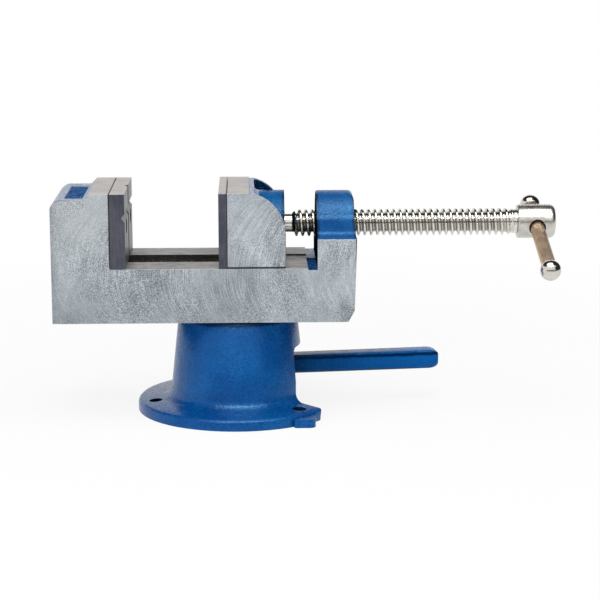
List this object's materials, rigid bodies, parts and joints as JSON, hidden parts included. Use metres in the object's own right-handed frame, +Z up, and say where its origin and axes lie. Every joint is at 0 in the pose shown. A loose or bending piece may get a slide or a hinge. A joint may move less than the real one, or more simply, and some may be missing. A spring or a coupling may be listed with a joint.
{
  "type": "drill press vise",
  "caption": "Drill press vise on a cast swivel base with a lock lever; a lead screw with a sliding bar closes the jaws on flat or round work.",
  "frame": {"origin": "on the swivel axis, at the underside of the base, where it stands on the table", "axes": "+X from the fixed jaw along the lead screw to its hub, +Y along the jaws' width to the far side, +Z up"},
  "size_m": [0.3193, 0.1397, 0.145],
  "materials": {
    "blue_enamel": "gloss blue enamel over rough iron castings",
    "machined_iron": "ground flat sides and tops on a cast iron body whose cast faces are painted blue",
    "hardened_steel": "ground and darkened jaw plates",
    "bright_nickel": "bright nickel plated steel screw, hub, bar and balls",
    "plain_steel": "plain turned steel fasteners, washer and keeper"
  },
  "bodies": {
    "base": {"base_casting": "blue_enamel"},
    "lock_lever": {"lock_lever": "blue_enamel", "lock_washer": "plain_steel"},
    "vise_body": {"vise_body": "machined_iron", "pivot_bolt": "plain_steel", "fixed_jaw_plate": "hardened_steel", "fixed_plate_screw_near": "plain_steel", "fixed_plate_screw_far": "plain_steel"},
    "movable_jaw": {"movable_jaw": "machined_iron", "movable_jaw_plate": "hardened_steel", "movable_plate_screw_near": "plain_steel", "movable_plate_screw_far": "plain_steel", "keeper_plate": "plain_steel", "keeper_screw_near": "plain_steel", "keeper_screw_far": "plain_steel", "neck_screw": "plain_steel"},
    "lead_screw": {"lead_screw": "bright_nickel", "drive_hub": "bright_nickel", "hub_pin": "plain_steel"},
    "handle_bar": {"sliding_bar": "bright_nickel", "bar_ball_near": "bright_nickel", "bar_ball_far": "bright_nickel"}
  },
  "joints": [
    {"name": "lever_swing", "type": "hinge", "parent": "base", "child": "lock_lever", "pos_m": [0, 0, 0.0272], "axis": [0, 0, 1], "range_deg": [-25.5, 34.5]},
    {"name": "body_swivel", "type": "hinge", "parent": "base", "child": "vise_body", "pos_m": [0, 0, 0.0635], "axis": [0, 0, 1], "continuous": true},
    {"name": "jaw_slide", "type": "slide", "parent": "vise_body", "child": "movable_jaw", "axis": [1, 0, 0], "range_m": [-0.0577, 0.019]},
    {"name": "screw_turn", "type": "hinge", "parent": "movable_jaw", "child": "lead_screw", "pos_m": [0.1, 0, 0.1205], "axis": [1, 0, 0], "range_deg": [-5190, 1705]},
    {"name": "bar_slide", "type": "slide", "parent": "lead_screw", "child": "handle_bar", "axis": [0, -0.9636, -0.2672], "range_m": [-0.055, 0.0118]}
  ],
  "couplings": [
    {"joint": "jaw_slide", "follows": "screw_turn", "m_per_rad": 0.00063662}
  ]
}
